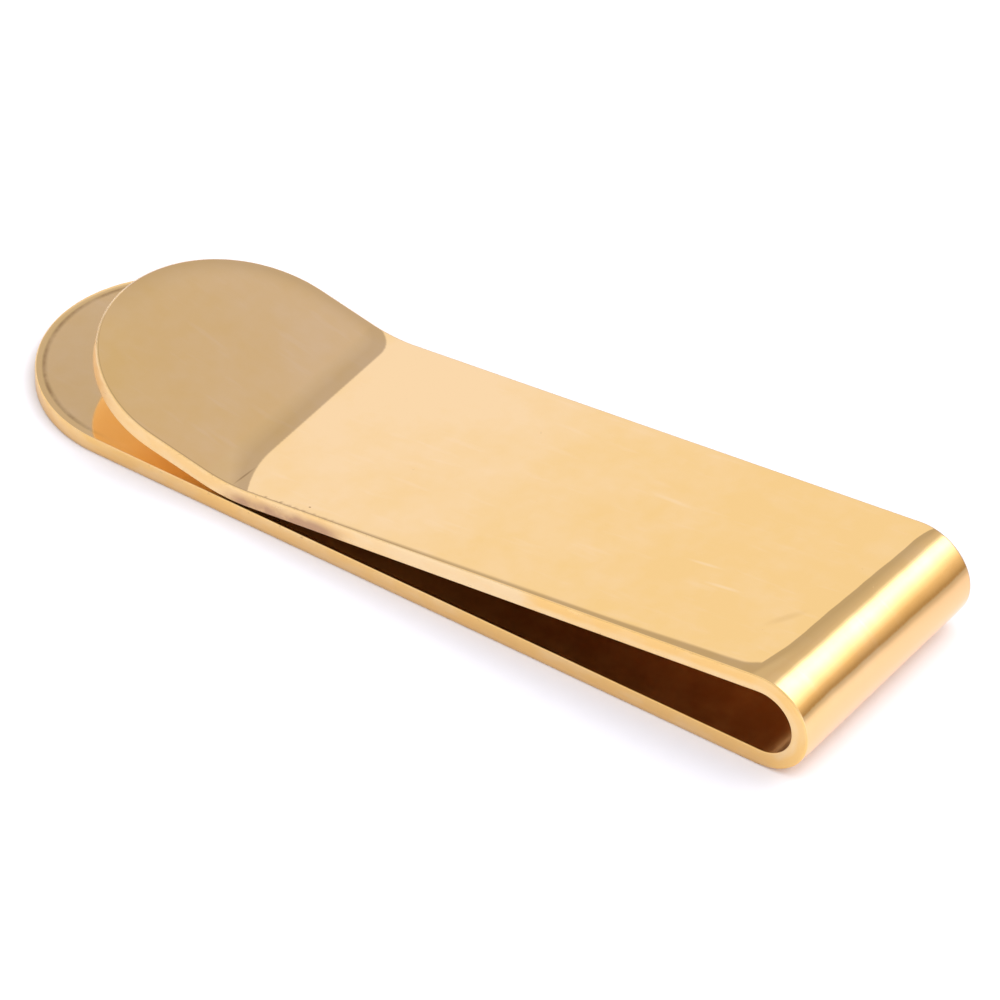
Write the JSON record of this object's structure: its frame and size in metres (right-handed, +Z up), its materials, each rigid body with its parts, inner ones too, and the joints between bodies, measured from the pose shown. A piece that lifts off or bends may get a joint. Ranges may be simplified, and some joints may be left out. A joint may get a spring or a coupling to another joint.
{
  "type": "money clip",
  "caption": "Flat strip folded back on itself into a sprung clip for folded banknotes, with half-round ends and an upturned thumb lip.",
  "frame": {"origin": "under the middle of the clip, on the surface that the base leaf lies on", "axes": "+X along the strip towards the fold, +Y across the strip, +Z up from the base leaf to the arm"},
  "size_m": [0.0624, 0.018, 0.0069],
  "materials": {
    "gold_plate": "polished gold plate on the faces, satin on the cut edges"
  },
  "bodies": {
    "lower": {"base_leaf": "gold_plate", "fold_bend": "gold_plate"},
    "arm": {"spring_arm": "gold_plate", "thumb_lip": "gold_plate"}
  },
  "joints": [
    {"name": "clip_open", "type": "hinge", "parent": "lower", "child": "arm", "pos_m": [0.0278, 0, 0.00345], "axis": [0, 1, 0], "range_deg": [0, 6], "stiffness_Nm_per_rad": 12, "deforming": ["fold_bend"]}
  ]
}
